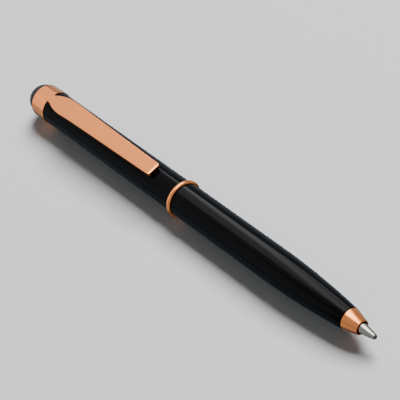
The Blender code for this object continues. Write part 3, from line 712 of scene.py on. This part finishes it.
# ---------------------------------------------------------------- floor, light and camera
CAMERA_AZIMUTH = 70.186
CAMERA_ELEVATION = 47.071
CAMERA_ROLL = -28.267
CAMERA_DISTANCE = 521.3
CAMERA_LENS = 189.0
RING_TO_AIM = Vector((2.657, 2.801, -1.442))


def make_camera():
    """Looks down the pen from beyond its tip, through a long lens, rolled so that the clip faces it."""
    azimuth, elevation = math.radians(CAMERA_AZIMUTH), math.radians(CAMERA_ELEVATION)
    back = Vector((math.sin(azimuth), -math.cos(azimuth), math.tan(elevation))).normalized()
    level = Vector((math.cos(azimuth), math.sin(azimuth), 0))
    right = Matrix.Rotation(math.radians(CAMERA_ROLL), 3, back) @ level
    up = back.cross(right)
    data = bpy.data.cameras.new("camera")
    data.lens = CAMERA_LENS
    data.clip_start = 0.01
    camera = bpy.data.objects.new("camera", data)
    aim = Vector(((RING_BACK + RING_FRONT) / 2, 0, AXIS_Z)) + RING_TO_AIM
    turn = Matrix((right, up, back)).transposed().to_4x4()
    camera.matrix_world = Matrix.Translation((aim + back * CAMERA_DISTANCE) * MM) @ turn
    bpy.context.scene.collection.objects.link(camera)
    bpy.context.scene.camera = camera


def area_light(name, direction, distance, size, radiance, in_gloss):
    """A soft panel facing the pen, which either lights it or is only seen in its gloss."""
    data = bpy.data.lights.new(name, "AREA")
    data.shape = "RECTANGLE"
    data.size, data.size_y = size
    data.energy = radiance * math.pi * size[0] * size[1]
    light = bpy.data.objects.new(name, data)
    back = Vector(direction).normalized()
    light.location = back * distance
    light.rotation_mode = "QUATERNION"
    light.rotation_quaternion = back.to_track_quat("Z", "Y")
    light.visible_diffuse = not in_gloss
    light.visible_glossy = in_gloss
    light.visible_camera = False
    bpy.context.scene.collection.objects.link(light)
    return light


def make_light():
    """Two lights, three panels for the gloss, and one that only the lower barrel's gloss shows."""
    area_light("key", (-0.1, 0.6, 0.8), 2.1, (1.08, 1.08), 22.0, in_gloss=False)
    area_light("fill", (0.6, -0.5, 0.9), 2.4, (1.8, 1.8), 0.4, in_gloss=False)
    area_light("sky_panel", (-0.72, 0.15, 0.68), 0.8, (0.9, 0.9), 0.82, in_gloss=True)
    area_light("bright_panel", (-0.31, 0.45, 0.84), 0.8, (0.42, 1.1), 6.0, in_gloss=True)
    area_light("side_panel", (-0.66, -0.66, 0.36), 0.8, (0.62, 0.62), 0.85, in_gloss=True)
    stripe = area_light("barrel_stripe", (-0.69, 0.34, 0.65), 0.7, (0.5, 0.8), 3.6, in_gloss=True)
    receivers = bpy.data.collections.new("barrel_stripe")
    receivers.objects.link(bpy.data.objects["lower_barrel_shell"])
    stripe.light_linking.receiver_collection = receivers


# The room in the pen's gloss, as (height, colour) or (height, level of ROOM_TINT): 0 is straight below,
# 0.5 is the horizon and 1 is overhead.
ROOM_BELOW = (0.18, (0.14, 0.16, 0.18))
ROOM_ABOVE = (0.86, (0.62, 0.66, 0.71))
ROOM_BETWEEN = ((0.29, 0.56), (0.46, 0.60), (0.53, 0.42), (0.62, 0.44))
ROOM_TINT = (1, 1.15, 1.35)
ROOM_LIGHT = (0.04, 0.04, 0.041)
ROOM_TO_CAMERA = (0.80, 0.81, 0.83)


def make_world():
    """The room: pale to the camera, dim as a light, and bluish with a dark floor in the pen's gloss."""
    world = bpy.data.worlds.new("room")
    bpy.context.scene.world = world
    world.use_nodes = True
    tree = world.node_tree
    tree.nodes.clear()
    coords = tree.nodes.new("ShaderNodeTexCoord")
    parts = tree.nodes.new("ShaderNodeSeparateXYZ")
    height = tree.nodes.new("ShaderNodeMapRange")
    height.inputs["From Min"].default_value = -1.0
    ramp = tree.nodes.new("ShaderNodeValToRGB")
    tree.links.new(coords.outputs["Generated"], parts.inputs["Vector"])
    tree.links.new(parts.outputs["Z"], height.inputs["Value"])
    tree.links.new(height.outputs["Result"], ramp.inputs["Fac"])
    stops = ramp.color_ramp.elements
    for stop, (position, colour) in zip(stops, (ROOM_BELOW, ROOM_ABOVE)):
        stop.position = position
        stop.color = (*colour, 1)
    for position, level in ROOM_BETWEEN:
        stops.new(position).color = (*[level * share for share in ROOM_TINT], 1)
    path = tree.nodes.new("ShaderNodeLightPath")
    dim, gloss, seen = [tree.nodes.new("ShaderNodeBackground") for _ in range(3)]
    dim.inputs["Color"].default_value = (*ROOM_LIGHT, 1)
    seen.inputs["Color"].default_value = (*ROOM_TO_CAMERA, 1)
    tree.links.new(ramp.outputs["Color"], gloss.inputs["Color"])
    shade = dim
    for ray, room in (("Is Glossy Ray", gloss), ("Is Camera Ray", seen)):
        mix = tree.nodes.new("ShaderNodeMixShader")
        tree.links.new(path.outputs[ray], mix.inputs["Fac"])
        tree.links.new(shade.outputs[0], mix.inputs[1])
        tree.links.new(room.outputs["Background"], mix.inputs[2])
        shade = mix
    output = tree.nodes.new("ShaderNodeOutputWorld")
    tree.links.new(shade.outputs["Shader"], output.inputs["Surface"])


def make_floor():
    """A plain pale floor, which the pen's gloss doesn't show."""
    half_side = 3.0
    material, tree, shader = new_material("pale_floor", (0.80, 0.82, 0.82), 0.9)
    vary_colour(tree, shader, noise(tree, 2.0), (0.78, 0.80, 0.81), (0.83, 0.84, 0.84))
    mesh = bpy.data.meshes.new("floor")
    corners = [(x * half_side, y * half_side, 0) for x, y in ((-1, -1), (1, -1), (1, 1), (-1, 1))]
    mesh.from_pydata(corners, [], [(0, 1, 2, 3)])
    mesh.materials.append(material)
    floor = bpy.data.objects.new("floor", mesh)
    floor.visible_glossy = False
    bpy.context.scene.collection.objects.link(floor)


make_camera()
make_floor()
make_world()
finish_inside()
make_lower_barrel()
make_upper_barrel()
make_centre_ring()
make_nib()
make_point()
make_ball()
make_dome()
make_clip()
make_light()
